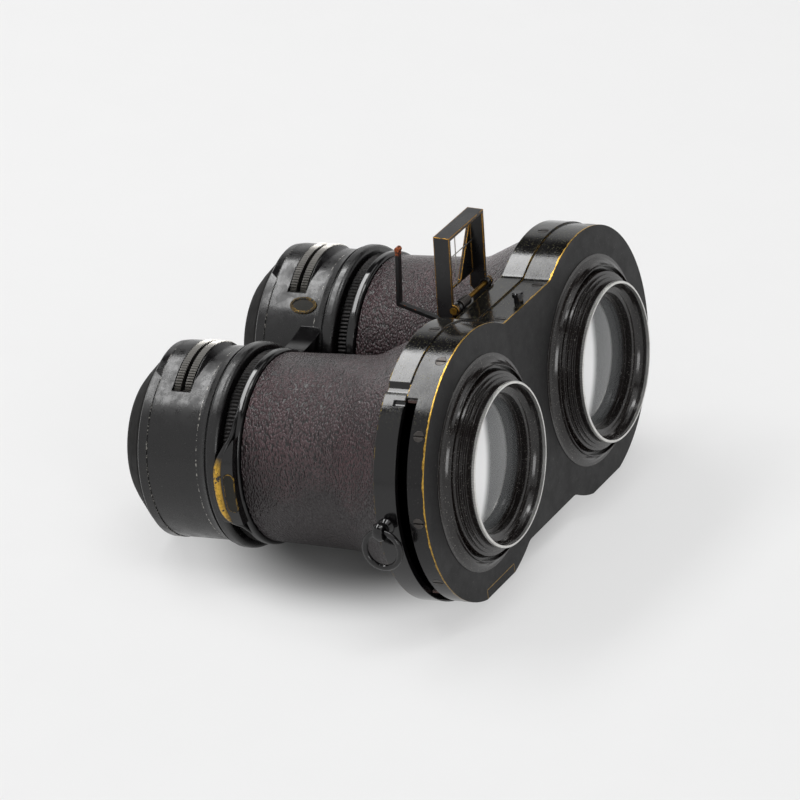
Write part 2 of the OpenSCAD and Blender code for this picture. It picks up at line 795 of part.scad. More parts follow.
// Small oval plates on the inner sides of the drums
badge_l = 7.4;
badge_w = 4.6;
badge_gap = 1.4;
badge_rim_w = 0.55;
badge_up = 0.35;
// Half angle of the window that the wheels stand out of
window_half = acos(min(1, (pow(drum_r, 2) + pow(wheel_up, 2) - pow(wheel_r + wheel_slack, 2))
  /(2*drum_r*wheel_up)));
badge_angle = 90 + window_half + (badge_w/2 + badge_gap)/drum_r*180/PI;
badge_y = y_shell + badge_l/2 + 0.2;

module badge_outline(inset) {
  w = badge_w - 2*inset;
  l = badge_l - 2*inset;
  radial(badge_angle, 0, badge_y) rotate([0, 90, 0]) linear_extrude(height = far)
    scale([w/l, 1]) circle(r = l/2);
}

module badge_plates() {
  color(BRASS) seat() for (s = [LEFT, RIGHT]) at_side(s)
    difference() {
      intersection() {
        tube(drum_r + badge_up, drum_r + skin, y_shell, y_rim);
        badge_outline(0);
      }
      // Sunk field inside the raised rim
      intersection() {
        tube(far, drum_r + badge_up/2, y_shell, y_rim);
        badge_outline(badge_rim_w);
      }
    }
}

// Wheels

hub_r = axle_r + 0.8;
cell_t = 0.5;
stop_radii = [4.5, 3, 2, 1.2];
axle_end = y_turret + wheel_t + 0.15;

// Ridged wheel on the axle, with its bore
module wheel(y) {
  difference() {
    translate([0, 0, wheel_up]) slab(y, y + wheel_t) ridged(wheel_r, wheel_ridges, 0.45);
    translate([0, 0, wheel_up]) rod(axle_r + run, y - 1, y + wheel_t + 1);
  }
}

// Turret: one lens on the optical axis and one opposite, in short cells
module turret_wheel() {
  r = eye_lens_r + skin;
  difference() {
    union() {
      wheel(y_turret);
      for (t = [-1, 1]) translate([0, 0, wheel_up + t*wheel_up])
        rod(r + cell_t, y_turret + wheel_t - eps, y_turret + wheel_t + cell_len);
      translate([0, 0, wheel_up]) tube(hub_r, axle_r + run, y_turret - wheel_gap + 0.15, y_turret + eps);
    }
    for (t = [-1, 1]) translate([0, 0, wheel_up + t*wheel_up])
      rod(r, y_turret - 1, y_turret + wheel_t + cell_len + 1);
  }
}

// Stop wheel: round stops from full opening to small
module stop_wheel() {
  difference() {
    wheel(y_stop);
    for (i = [0:3]) translate([0, 0, wheel_up]) rotate([0, i*90, 0]) translate([0, 0, -wheel_up])
      rod(stop_radii[i], y_stop - 1, y_stop + wheel_t + 1);
  }
}

// Fixed axle in the inner wall, with a spacing collar and a retaining head
module wheel_axle() {
  translate([0, 0, wheel_up]) {
    rod(axle_r - 0.01, y_wall + 0.1, y_wall + wall_t + eps);
    rod(hub_r + 0.6, y_wall + wall_t + 0.02, y_stop - 0.15);
    rod(axle_r, y_stop - 0.2, axle_end + eps);
    difference() {
      rod(axle_r + 0.4, axle_end, axle_end + 0.9);
      translate([-far/2, axle_end + 0.5, -slot_t/2]) cube([far, far, slot_t]);
    }
  }
}

// Hollow-faced eye lens on the optical axis
module eye_lens() {
  c = 14;
  difference() {
    rod(eye_lens_r, y_turret + 0.4, y_turret + 2.8);
    translate([0, y_turret + 1.2 - c, 0]) sphere(r = c, $fn = 240);
    translate([0, y_turret + 2 + c, 0]) sphere(r = c, $fn = 240);
  }
}

// Taking lens in the other cell, bulging on both sides
module taking_lens() {
  c = 12;
  rise = cap(c, eye_lens_r);
  translate([0, 0, 2*wheel_up]) intersection() {
    rod(eye_lens_r, y_turret, y_turret + wheel_t + cell_len);
    translate([0, y_turret + 0.3 + c, 0]) sphere(r = c, $fn = 240);
    translate([0, y_turret + wheel_t + cell_len - 0.3 - c, 0]) sphere(r = c, $fn = 240);
  }
}

module turret_wheel_left() { color(STEEL) seat() at_side(LEFT) turret_wheel(); }
module turret_wheel_right() { color(STEEL) seat() at_side(RIGHT) turret_wheel(); }
module stop_wheel_left() { color(STEEL) seat() at_side(LEFT) stop_wheel(); }
module stop_wheel_right() { color(STEEL) seat() at_side(RIGHT) stop_wheel(); }
module wheel_axle_left() { color(STEEL) seat() at_side(LEFT) wheel_axle(); }
module wheel_axle_right() { color(STEEL) seat() at_side(RIGHT) wheel_axle(); }
module eye_lens_left() { color(GLASS) seat() at_side(LEFT) eye_lens(); }
module eye_lens_right() { color(GLASS) seat() at_side(RIGHT) eye_lens(); }
module taking_lens_left() { color(GLASS) seat() at_side(LEFT) taking_lens(); }
module taking_lens_right() { color(GLASS) seat() at_side(RIGHT) taking_lens(); }

// Shutter

blade_y = y_wall - 1.6;
arm_w = 3;

// Round blade on an arm, with its pivot pin in the inner wall on the inner side
module shutter_blade() {
  rod(blade_r, blade_y, blade_y + blade_t);
  translate([-pivot_x, blade_y, -arm_w/2]) cube([pivot_x, blade_t, arm_w]);
  translate([-pivot_x, 0, 0]) {
    rod(arm_w/2 + 0.4, blade_y - 0.6, y_wall - 0.15);
    rod(1 - run, y_wall - 0.5, y_wall + wall_t - 0.1);
  }
}

module shutter_blade_left() { color(DULL) seat() at_side(LEFT) shutter_blade(); }
module shutter_blade_right() { color(DULL) seat() at_side(RIGHT) shutter_blade(); }

// Finder

hinge_y = y_back + hinge_back;
hinge_z = waist_h + hinge_up;
knuckle_r = pin_r + 0.7;
base_t = 1.4;
base_z = hinge_z - knuckle_r - 0.4 - base_t;
side_gap = 0.35;
ear_t = 1.2;
ear_x = finder_w/2 - sheet_t - side_gap - ear_t;
// Distance from the hinge back to the cheeks' front edges
cheek_back = 0.35;

// Block behind the waist that carries the finder and the rear sight
lug_w = finder_w - 2*sheet_t - 2*side_gap;
lug_d = 4.4;
lug_h = 4.6;
sight_y = y_back + 3.95;
sight_z = base_z - 6.6;
sight_ear_w = 6;
sight_slot_w = sight_w + 0.5;
sight_knuckle_r = pin_r + 0.8;

module finder_lug() {
  difference() {
    union() {
      translate([-lug_w/2, y_back - 1, base_z - lug_h]) cube([lug_w, 1 + lug_d, lug_h - skin]);
      translate([-sight_ear_w/2, y_back - 1, sight_z - sight_knuckle_r])
        cube([sight_ear_w, 1 + lug_d, base_z - lug_h - sight_z + sight_knuckle_r + eps]);
      translate([-sight_ear_w/2, sight_y, sight_z]) rotate([0, 90, 0])
        cylinder(r = sight_knuckle_r, h = sight_ear_w);
    }
    for (s = [LEFT, RIGHT]) at_side(s) rod(flare_r + 0.15, y_back, far);
  }
}

module sight_bore() {
  room = sight_knuckle_r + 0.35;
  translate([-sight_slot_w/2, sight_y, sight_z]) rotate([0, 90, 0]) cylinder(r = room, h = sight_slot_w);
  translate([-sight_slot_w/2, sight_y, sight_z - room]) cube([sight_slot_w, far, far]);
  translate([-sight_ear_w/2 - 1, sight_y, sight_z]) rotate([0, 90, 0])
    cylinder(r = pin_r + skin, h = sight_ear_w + 2);
}

// Base plate with two ears that hold the hinge pin
module finder_base() {
  color(BLACK) seat() difference() {
    union() {
      translate([-lug_w/2, y_back + skin, base_z]) cube([lug_w, lug_d - 0.2, base_t]);
      for (s = [LEFT, RIGHT]) translate([s*(ear_x + ear_t/2) - ear_t/2, hinge_y, 0]) {
        translate([0, -knuckle_r, base_z + base_t - eps])
          cube([ear_t, 2*knuckle_r, hinge_z - base_z - base_t + eps]);
        translate([0, 0, hinge_z]) rotate([0, 90, 0]) cylinder(r = knuckle_r, h = ear_t);
      }
    }
    translate([-far/2, hinge_y, hinge_z]) rotate([0, 90, 0]) cylinder(r = pin_r + skin, h = far);
    translate([-sight_slot_w/2, sight_y, 0]) cube([sight_slot_w, far, far]);
  }
}

pin_head_t = 0.45;

module finder_pin() {
  color(BRASS) seat() translate([-finder_w/2 - pin_head_t - 0.1, hinge_y, hinge_z]) rotate([0, 90, 0]) {
    cylinder(r = pin_r, h = finder_w + 2*pin_head_t + 0.2);
    cylinder(r = pin_r + 0.35, h = pin_head_t);
    translate([0, 0, finder_w + pin_head_t + 0.2]) cylinder(r = pin_r + 0.35, h = pin_head_t);
  }
}

module sight_pin() {
  color(BRASS) seat() translate([-sight_ear_w/2, sight_y, sight_z]) rotate([0, 90, 0])
    cylinder(r = pin_r, h = sight_ear_w);
}

// How far the cheeks reach below the hinge, and the rail and opening of the rear plate
foot_drop = 3;
rail_low = knuckle_r + 0.7;
rail_high = 0.6;
wing_top = 15.2;
wing_x = 2.4;
window_x = finder_w/2 - sheet_t - 0.3;

// Places a shape on the hinge at the frame's lean, with y back from the hinge and z up
module at_hinge() {
  translate([0, hinge_y, hinge_z]) rotate([finder_lean, 0, 0]) children();
}

// Folding finder frame: two cheeks, a top bar, and a rear plate whose opening narrows downwards
module finder_frame() {
  y1 = cheek_back + finder_d;
  low = rail_low + rail_high;
  color(BLACK) seat() at_hinge() difference() {
    union() {
      for (s = [LEFT, RIGHT]) translate([s*(finder_w - sheet_t)/2 - sheet_t/2, 0, 0])
        rotate([90, 0, 90]) linear_extrude(height = sheet_t) union() {
          polygon([[cheek_back, -foot_drop], [y1 - 1.2, -foot_drop], [y1, -foot_drop + 1.2],
            [y1, finder_h], [cheek_back, finder_h]]);
          circle(r = knuckle_r);
        }
      translate([-finder_w/2, cheek_back, finder_h - sheet_t]) cube([finder_w, finder_d, sheet_t]);
      slab(y1 - sheet_t, y1) difference() {
        translate([-finder_w/2 + sheet_t/2, rail_low])
          square([finder_w - sheet_t, finder_h - rail_low - sheet_t/2]);
        polygon([[-wing_x, low], [wing_x, low], [window_x, wing_top],
          [window_x, finder_h - 2*sheet_t], [-window_x, finder_h - 2*sheet_t],
          [-window_x, wing_top]]);
      }
    }
    rotate([0, 90, 0]) translate([0, 0, -far/2]) cylinder(r = pin_r + run, h = far);
  }
}

// Cross wires soldered in front of the rear plate
wire_up = 10.6;

module finder_wires() {
  inner = finder_w - 2*sheet_t;
  wire_y = cheek_back + finder_d - sheet_t - wire_t/2;
  color(STEEL) seat() at_hinge() {
    translate([-inner/2, wire_y, wire_up]) rotate([0, 90, 0]) cylinder(r = wire_t/2, h = inner);
    translate([0, wire_y, rail_low]) cylinder(r = wire_t/2, h = finder_h - sheet_t - rail_low);
  }
}

// Coil round the hinge pin that keeps the finder up
spring_step = 0.75;

module finder_spring() {
  color(STEEL) seat() for (i = [0:5])
    translate([-ear_x*0.85 + i*spring_step, hinge_y, hinge_z]) rotate([0, 90, 0])
      rotate_extrude() translate([pin_r + 0.45, 0]) circle(r = 0.3, $fn = 24);
}

// Rear sight: a foot that rises from its pivot and a thin post with a rounded head
sight_rise = 18.8;
post_lean = 96;
sight_t = 1;
elbow_y = sight_len*cos(sight_rise);
elbow_z = sight_len*sin(sight_rise);

module rear_sight() {
  color(BLACK) seat() difference() {
    translate([-sight_w/2, sight_y, sight_z]) rotate([90, 0, 90]) linear_extrude(height = sight_w) union() {
      circle(r = sight_knuckle_r);
      rotate(sight_rise) translate([0, -sight_t/2]) square([sight_len, sight_t]);
      translate([elbow_y, elbow_z]) circle(r = sight_t/2);
      translate([elbow_y, elbow_z]) rotate(post_lean) translate([0, -sight_t/2]) square([post_h, sight_t]);
      translate([elbow_y, elbow_z]) rotate(post_lean) translate([post_h, 0]) circle(r = sight_t*0.7);
    }
    translate([-far/2, sight_y, sight_z]) rotate([0, 90, 0]) cylinder(r = pin_r + run, h = far);
  }
}

// Fittings

// Sprung catch on the waist that frees the front cover
module catch_button() {
  low = -cover_t - frame_t - 1;
  color(STEEL) seat() translate([0, cover_screw_y, waist_h]) {
    translate([0, 0, low]) cylinder(r = stem_r, h = button_h - low - 0.5);
    translate([0, 0, button_h - 1.2]) cylinder(r = button_r, h = 0.9);
    translate([0, 0, button_h - 0.3]) cylinder(r1 = button_r, r2 = button_r - 0.3, h = 0.3);
  }
}

stud_y = y_back - 2.45;
stud_x = lobe_r + band_proud;
stud_len = 3.2;
eye_z = -2.4;
eye_x = stud_x + stud_len;
eye_bore = strap_wire_r + 0.6;
eye_w = 2.5;

// Stud on the band with a drilled, flat-sided eye for the strap ring
module strap_stud() {
  difference() {
    union() {
      translate([stud_x - 0.3, stud_y, eye_z]) rotate([0, 90, 0]) cylinder(r1 = 2.3, r2 = 1.5, h = 1.5);
      translate([stud_x - 0.3, stud_y, eye_z]) rotate([0, 90, 0]) cylinder(r = 1.1, h = stud_len - 1);
      intersection() {
        translate([eye_x, stud_y, eye_z]) sphere(r = stud_ball_r);
        translate([eye_x - stud_ball_r - 1, stud_y - eye_w/2, eye_z - far/2]) cube([far, eye_w, far]);
      }
    }
    translate([eye_x, stud_y - far/2, eye_z]) rotate([-90, 0, 0]) cylinder(r = eye_bore, h = far);
    rod(lobe_r + band_proud + skin, y_band, y_back + 1);
  }
}

// Ring that hangs in the stud's eye
module strap_ring() {
  translate([eye_x, stud_y, eye_z - strap_r]) rotate([0, 90, 0])
    rotate_extrude() translate([strap_r, 0]) circle(r = strap_wire_r);
}

module strap_stud_left() { color(BLACK) seat() at_side(LEFT) strap_stud(); }
module strap_stud_right() { color(BLACK) seat() at_side(RIGHT) strap_stud(); }
module strap_ring_left() { color(STEEL) seat() at_side(LEFT) strap_ring(); }
module strap_ring_right() { color(STEEL) seat() at_side(RIGHT) strap_ring(); }

body_frame();
front_cover();
front_frame();
plate_rails();
slot_velvet();
cover_screws();
band_screws();
mount_left();
mount_right();
front_ring_left();
front_ring_right();
retaining_ring_left();
retaining_ring_right();
object_glass_left();
object_glass_right();
barrel_left();
barrel_right();
leather_left();
leather_right();
focus_ring_left();
focus_ring_right();
scale_plate_left();
scale_plate_right();
drum_left();
drum_right();
drum_bridge();
drum_cap_left();
drum_cap_right();
eyecup_left();
eyecup_right();
turret_wheel_left();
turret_wheel_right();
eye_lens_left();
eye_lens_right();
taking_lens_left();
taking_lens_right();
stop_wheel_left();
stop_wheel_right();
wheel_axle_left();
wheel_axle_right();
shutter_blade_left();
shutter_blade_right();
shutter_button();
badge_plates();
finder_base();
finder_pin();
finder_frame();
finder_wires();
finder_spring();
rear_sight();
sight_pin();
catch_button();
strap_stud_left();
strap_stud_right();
strap_ring_left();
strap_ring_right();
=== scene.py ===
"""Looks, camera and light for the binocular camera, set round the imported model."""
import math

import bmesh
import bpy
from mathutils import Matrix, Vector


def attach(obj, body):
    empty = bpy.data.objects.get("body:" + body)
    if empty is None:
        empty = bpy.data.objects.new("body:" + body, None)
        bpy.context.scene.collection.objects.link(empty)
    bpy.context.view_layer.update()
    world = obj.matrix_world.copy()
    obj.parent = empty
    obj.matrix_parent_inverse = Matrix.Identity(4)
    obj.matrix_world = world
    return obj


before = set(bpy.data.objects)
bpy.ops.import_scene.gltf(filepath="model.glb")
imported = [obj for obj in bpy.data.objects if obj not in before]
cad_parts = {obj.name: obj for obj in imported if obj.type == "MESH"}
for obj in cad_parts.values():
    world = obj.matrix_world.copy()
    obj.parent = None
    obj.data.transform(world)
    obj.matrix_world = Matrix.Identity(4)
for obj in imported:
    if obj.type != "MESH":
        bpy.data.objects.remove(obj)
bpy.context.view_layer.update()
MM = 0.001

# The camera lies on its band and drum rims, so its optical axes lean by TILT
TILT = math.radians(7.461043)
LIFT = 35.91906 * MM
AHEAD = -47.92794 * MM

# Stations along the optical axes in millimetres, from the lens rings back
COVER_FRONT = 6.75
COVER_JOINT = 14.25
BAND_END = 20.05
FLANGE_END = 64.45
GRIP_END = 66.75
BEVEL_END = 74.0
RIM_SEAM = 87.7

# Half the way between the two optical axes, then radii round one of them, in millimetres
HALF = 32.0
GLASS_R = 16.4
FLANGE_R = 24.4
TAB_R = 26.8

# Heights over the optical axes in millimetres
SLOT_HEAD = 25.5
SIGHT_NECK = 39.7

# Widths of the lines where lacquer is worn off, in millimetres: at the front edge from least to
# most, either side of the joint, at the band's rear edge, and either side of a drum's seam
FRONT_THIN, FRONT_WIDE = 0.25, 0.65
COVER_SIDE, BAND_SIDE = 0.12, 0.14
REAR_WEAR = 0.12
SEAM_WEAR = 0.08

# Stretch of the finger lip that fingers push, by its height, and of the chip above it
PUSHED_LOW, PUSHED_HIGH = -9.5, 5.5
CHIP_LOW, CHIP_HIGH = 19.4, 20.2

# The oblong scribed on the left lobe: its middle, half width, top edge, height and line width
STRIP_X = -31.8
STRIP_HALF = 7.9
STRIP_TOP = -30.8
STRIP_HIGH = 4.0
STRIP_LINE = 0.16

# A painted shadow under the camera: the table's own glow is held low inside an ellipse. Its
# middle and half axes in millimetres, the shares of it where the glow begins and where it is
# full, and the glow at either
SHADE_X, SHADE_Y = -6.0, 50.0
SHADE_WIDE, SHADE_LONG = 84.0, 62.0
SHADE_FROM, SHADE_TO = 0.36, 0.74
GLOW_LEAST, GLOW_FULL = 0.02, 0.49

# Half the side of the table in metres
TABLE_REACH = 6

# Rays of each look for rounded edges and for hollows
RAYS = 4

# Roughness of bare metal, and what settled dust adds to that of the lacquer
BARE_ROUGH = 0.36
DUST_ROUGH = 0.15


def linear(code):
    """The linear colour of an sRGB hex value."""
    parts = [int(code[i:i + 2], 16) / 255 for i in (1, 3, 5)]
    return [p / 12.92 if p <= 0.04045 else ((p + 0.055) / 1.055) ** 2.4 for p in parts] + [1]


def add(tree, kind, sockets=(), **settings):
    """A node of that kind with its settings, its values and its links."""
    made = tree.nodes.new(kind)
    for name, value in settings.items():
        setattr(made, name, value)
    for name, value in dict(sockets).items():
        if isinstance(value, bpy.types.NodeSocket):
            tree.links.new(value, made.inputs[name])
        else:
            made.inputs[name].default_value = value
    return made


def maths(tree, operation, *values, clamp=False):
    """The result of a maths node on one, two or three values."""
    return add(tree, "ShaderNodeMath", dict(enumerate(values)), operation=operation,
               use_clamp=clamp).outputs[0]


def vector_maths(tree, operation, *vectors):
    """The result of a vector maths node, a number for a length or a dot product."""
    made = add(tree, "ShaderNodeVectorMath", dict(enumerate(vectors)), operation=operation)
    return made.outputs["Value" if operation in ("LENGTH", "DOT_PRODUCT") else "Vector"]


def parts_of(tree, vector):
    """The X, Y and Z of a vector."""
    return add(tree, "ShaderNodeSeparateXYZ", {0: vector}).outputs


def scaled(tree, value, start, end, low=0.0, high=1.0, curve="LINEAR"):
    """Low where the value is at start, high where it is at end, and held beyond both."""
    return add(tree, "ShaderNodeMapRange",
               {"Value": value, "From Min": start, "From Max": end,
                "To Min": low, "To Max": high}, interpolation_type=curve).outputs[0]


def noise_of(tree, place, scale, detail, rough=0.5):
    """Cloudy noise from nought to one, finer as its scale grows."""
    return add(tree, "ShaderNodeTexNoise", {"Vector": place, "Scale": scale, "Detail": detail,
                                            "Roughness": rough}).outputs["Fac"]


def mixed(tree, share, first, second, kind="RGBA"):
    """Two colours mixed, the second by its share, or two numbers where the kind is FLOAT."""
    return add(tree, "ShaderNodeMix", {"Factor": share, "A": first, "B": second},
               data_type=kind).outputs["Result"]


def rounded(tree, radius):
    """The normal of a surface whose edges are rounded to that radius in millimetres."""
    return add(tree, "ShaderNodeBevel", {"Radius": radius * MM}, samples=RAYS).outputs[0]


def openness(tree, reach):
    """One in the open, less in hollows within that reach in millimetres."""
    return add(tree, "ShaderNodeAmbientOcclusion", {"Distance": reach * MM},
               samples=RAYS).outputs["AO"]


def relief(tree, height, depth, strength, soft=None):
    """The normal of a surface raised by the height, which counts that many millimetres."""
    sockets = {"Strength": strength, "Distance": depth * MM, "Height": height}
    if soft is not None:
        sockets["Normal"] = soft
    return add(tree, "ShaderNodeBump", sockets).outputs[0]


def blank(name):
    """An empty material and its place along the optical axes, in millimetres."""
    made = bpy.data.materials.new(name)
    made.use_nodes = True
    tree = made.node_tree
    tree.nodes.clear()
    own = add(tree, "ShaderNodeTexCoord").outputs["Object"]
    place = add(tree, "ShaderNodeMapping",
                {"Vector": own, "Location": (0, AHEAD, LIFT), "Rotation": (-TILT, 0, 0),
                 "Scale": (MM, MM, MM)}, vector_type="TEXTURE")
    return made, tree, place.outputs[0]


def facing_of(tree):
    """The X, Y and Z of the way a surface faces, along the optical axes."""
    own = add(tree, "ShaderNodeTexCoord").outputs["Normal"]
    turned = add(tree, "ShaderNodeMapping", {"Vector": own, "Rotation": (-TILT, 0, 0)},
                 vector_type="TEXTURE")
    return parts_of(tree, turned.outputs[0])


def surface(tree, sockets):
    """The material's shader, joined to its output."""
    shader = add(tree, "ShaderNodeBsdfPrincipled", sockets)
    add(tree, "ShaderNodeOutputMaterial", {"Surface": shader.outputs[0]})


def band_of(tree, value, start, end, soft):
    """One between start and end, falling to nothing over the soft width outside them."""
    rise = scaled(tree, value, start - soft, start)
    fall = scaled(tree, value, end, end + soft, low=1.0, high=0.0)
    return maths(tree, "MULTIPLY", rise, fall)


def ragged_patches(tree, place, scale, low, high):
    """Patches with torn edges, where a finish has gone."""
    return scaled(tree, noise_of(tree, place, scale, 6, 0.68), low, high)


def upright(tree, facing):
    """One on surfaces that run along the axis, nothing on those that look along it."""
    return scaled(tree, maths(tree, "ABSOLUTE", facing["Y"]), 0.9, 0.6)


def scribed_strip(tree, place, facing):
    """Thin scribed oblong over the flat foot of the left lobe, cut through the lacquer."""
    at = parts_of(tree, place)
    aside = maths(tree, "ABSOLUTE", maths(tree, "SUBTRACT", at["X"], STRIP_X))
    along = scaled(tree, aside, STRIP_HALF, STRIP_HALF + 0.04, low=1.0, high=0.0)
    ends = band_of(tree, aside, STRIP_HALF - STRIP_LINE, STRIP_HALF, soft=0.04)
    top = band_of(tree, at["Z"], STRIP_TOP - STRIP_LINE, STRIP_TOP, soft=0.04)
    below = band_of(tree, at["Z"], STRIP_TOP - STRIP_HIGH, STRIP_TOP, soft=0.04)
    cut = maths(tree, "MAXIMUM", maths(tree, "MULTIPLY", along, top),
                maths(tree, "MULTIPLY", ends, below))
    kept = maths(tree, "MULTIPLY", cut, ragged_patches(tree, place, 1.1, 0.36, 0.5))
    faint = maths(tree, "MULTIPLY", kept, 0.6)
    ahead = maths(tree, "LESS_THAN", facing["Y"], -0.95)
    return maths(tree, "MULTIPLY", faint, ahead)


def cover_edge_wear(tree, place):
    """Cover: its front edge rubbed to a thin gold line, a little at the joint with the band."""
    back, facing = parts_of(tree, place)["Y"], facing_of(tree)
    reach = scaled(tree, noise_of(tree, place, 0.3, 5, 0.7), 0.35, 0.7,
                   COVER_FRONT + FRONT_THIN, COVER_FRONT + FRONT_WIDE)
    line = maths(tree, "LESS_THAN", back, reach)
    # Strong on the walls that look up or aside, faint on those that look down
    bright = scaled(tree, facing["Z"], -0.9, 0.1, low=0.25)
    front_edge = maths(tree, "MULTIPLY", line, bright)
    joint = band_of(tree, back, COVER_JOINT - COVER_SIDE, COVER_JOINT + 1, soft=0.06)
    seam = maths(tree, "MULTIPLY", joint, ragged_patches(tree, place, 0.6, 0.45, 0.6))
    both = maths(tree, "MAXIMUM", front_edge, seam)
    edges = maths(tree, "MULTIPLY", both, upright(tree, facing))
    return maths(tree, "MAXIMUM", edges, scribed_strip(tree, place, facing))


def band_edge_wear(tree, place):
    """Band: an olive line at the joint with the cover and a fainter one against the leather."""
    at = parts_of(tree, place)
    joint = band_of(tree, at["Y"], COVER_JOINT - 1, COVER_JOINT + BAND_SIDE, soft=0.06)
    # The joint is worn right of the middle, and at the left only over the slot
    above = maths(tree, "SUBTRACT", at["Z"], SLOT_HEAD)
    whole = maths(tree, "GREATER_THAN", maths(tree, "MAXIMUM", above, at["X"]), 0.0)
    joint = maths(tree, "MULTIPLY", joint, whole)
    rear = band_of(tree, at["Y"], BAND_END - REAR_WEAR, BAND_END + 0.3, soft=0.05)
    both = maths(tree, "MAXIMUM", joint, rear)
    kept = maths(tree, "MULTIPLY", both, upright(tree, facing_of(tree)))
    return maths(tree, "MULTIPLY", kept, ragged_patches(tree, place, 0.35, 0.5, 0.62))


def ridged_grip(tree, place):
    """Focusing ring: its milled grip was never lacquered."""
    at = parts_of(tree, place)
    out = maths(tree, "SUBTRACT", maths(tree, "ABSOLUTE", at["X"]), HALF)
    spoke = add(tree, "ShaderNodeCombineXYZ", {"X": out, "Z": at["Z"]}).outputs[0]
    within = maths(tree, "LESS_THAN", vector_maths(tree, "LENGTH", spoke), FLANGE_R - 0.1)
    milled = band_of(tree, at["Y"], FLANGE_END + 0.1, GRIP_END + 0.3, soft=0.05)
    return maths(tree, "MULTIPLY", milled, within)


def sight_wear(tree, place):
    """Rear sight: its round head is rubbed down to copper."""
    head = scaled(tree, parts_of(tree, place)["Z"], SIGHT_NECK - 0.2, SIGHT_NECK + 0.2)
    return maths(tree, "MULTIPLY", head, ragged_patches(tree, place, 1.2, 0.38, 0.5))


def lip_wear(tree, place):
    """Lip of the finger tab: gold where fingers push it, with flecks of lacquer left."""
    at = parts_of(tree, place)
    pushed = band_of(tree, at["Z"], PUSHED_LOW, PUSHED_HIGH, soft=2.5)
    behind = scaled(tree, at["Y"], FLANGE_END + 0.6, FLANGE_END + 2.2)
    spot = maths(tree, "MULTIPLY", pushed, behind)
    worn = maths(tree, "MULTIPLY", spot, ragged_patches(tree, place, 0.6, 0.42, 0.45))
    chip = band_of(tree, at["Z"], CHIP_LOW, CHIP_HIGH, soft=0.5)
    nick = maths(tree, "MULTIPLY", chip, ragged_patches(tree, place, 0.9, 0.44, 0.5))
    return maths(tree, "MAXIMUM", worn, nick)


def rubbed_edges(tree, place, soft, bare):
    """Patches of the outward edges where the lacquer is rubbed off, more as bare nears one."""
    true = add(tree, "ShaderNodeNewGeometry").outputs["Normal"]
    edge = scaled(tree, vector_maths(tree, "DOT_PRODUCT", soft, true), 0.985, 0.88)
    outer = scaled(tree, openness(tree, 0.8), 0.5, 0.7)
    torn = ragged_patches(tree, place, 0.7, 0.72 - bare * 0.35, 0.78 - bare * 0.35)
    return maths(tree, "MULTIPLY", maths(tree, "MULTIPLY", edge, outer), torn, clamp=True)


def settled_dust(tree, place, facing):
    """Grains of dust on the surfaces that look up."""
    top = scaled(tree, facing["Z"], 0.55, 0.8)
    return maths(tree, "MULTIPLY", top, ragged_patches(tree, place, 2.2, 0.57, 0.68))


def pale_chips(tree, place, amount, seams):
    """Fine chips all over, more as the amount grows, and scuffs along the seams."""
    chips = scaled(tree, noise_of(tree, place, 3.0, 5, 0.75),
                   0.77 - amount * 0.09, 0.82 - amount * 0.09, high=0.65)
    back = parts_of(tree, place)["Y"]
    for seam in seams:
        line = band_of(tree, back, seam - SEAM_WEAR, seam + SEAM_WEAR, soft=0.05)
        scuffs = maths(tree, "MULTIPLY", line, ragged_patches(tree, place, 1.3, 0.52, 0.6))
        chips = maths(tree, "MAXIMUM", chips, scuffs)
    return chips


def stoved_lacquer(name, colour="#0a090a", gloss=0.06, haze=0.12, level=0.5, satin=0.0,
                   peel=0.012, polished=False, chipped=0.4, seams=(), dusty=False,
                   rim=0.25, bare=0.0, wear=None, metal="#b18a3e", stain="#7a5a26"):
    """Black lacquer stoved on brass: deep gloss, faint waves, fine chips, bare worn edges.

    gloss, haze: its least roughness, and what is added where it was wiped
    level, satin: its shine, and the roughness added on the face that looks ahead
    peel, polished: depth of the waves in millimetres, and whether they lie round the axis
    chipped, seams, dusty: amount of fine chips, stations of scuffed joints, dust on top
    rim, bare, wear: radius of its edges, how far they are rubbed, and a mask of other wear
    metal, stain: the colours that show where it is rubbed off
    """
    made, tree, place = blank(name)
    facing = facing_of(tree)
    soft = rounded(tree, rim)
    lie = vector_maths(tree, "MULTIPLY", place, (0.16, 2.4, 0.16)) if polished else place
    fine = noise_of(tree, lie, 1.6, 4, 0.6)
    paint = linear(colour)
    rough = scaled(tree, noise_of(tree, place, 0.2, 5, 0.7), 0.35, 0.7, gloss, gloss + haze)
    if dusty:
        dust = settled_dust(tree, place, facing)
        paint = mixed(tree, dust, paint, linear("#5c5a42"))
        rough = maths(tree, "MULTIPLY_ADD", dust, DUST_ROUGH, rough)
    paint = mixed(tree, pale_chips(tree, place, chipped, seams), paint, linear("#a19e98"))
    if satin:
        ahead = scaled(tree, facing["Y"], -0.93, -0.98, high=satin)
        rough = maths(tree, "ADD", rough, ahead)
    sockets = {"Specular IOR Level": level, "Normal": relief(tree, fine, peel, 0.3, soft)}
    masks = [rubbed_edges(tree, place, soft, bare)] if bare else []
    if wear:
        masks.append(wear(tree, place))
    if masks:
        rubbed = maths(tree, "MAXIMUM", masks[0], masks[-1])
        worked = mixed(tree, scaled(tree, fine, 0.4, 0.7), linear(metal), linear(stain))
        paint = mixed(tree, rubbed, paint, worked)
        rough = mixed(tree, rubbed, rough, BARE_ROUGH, kind="FLOAT")
        sockets["Metallic"] = rubbed
    surface(tree, {"Base Color": paint, "Roughness": rough, **sockets})
    return made


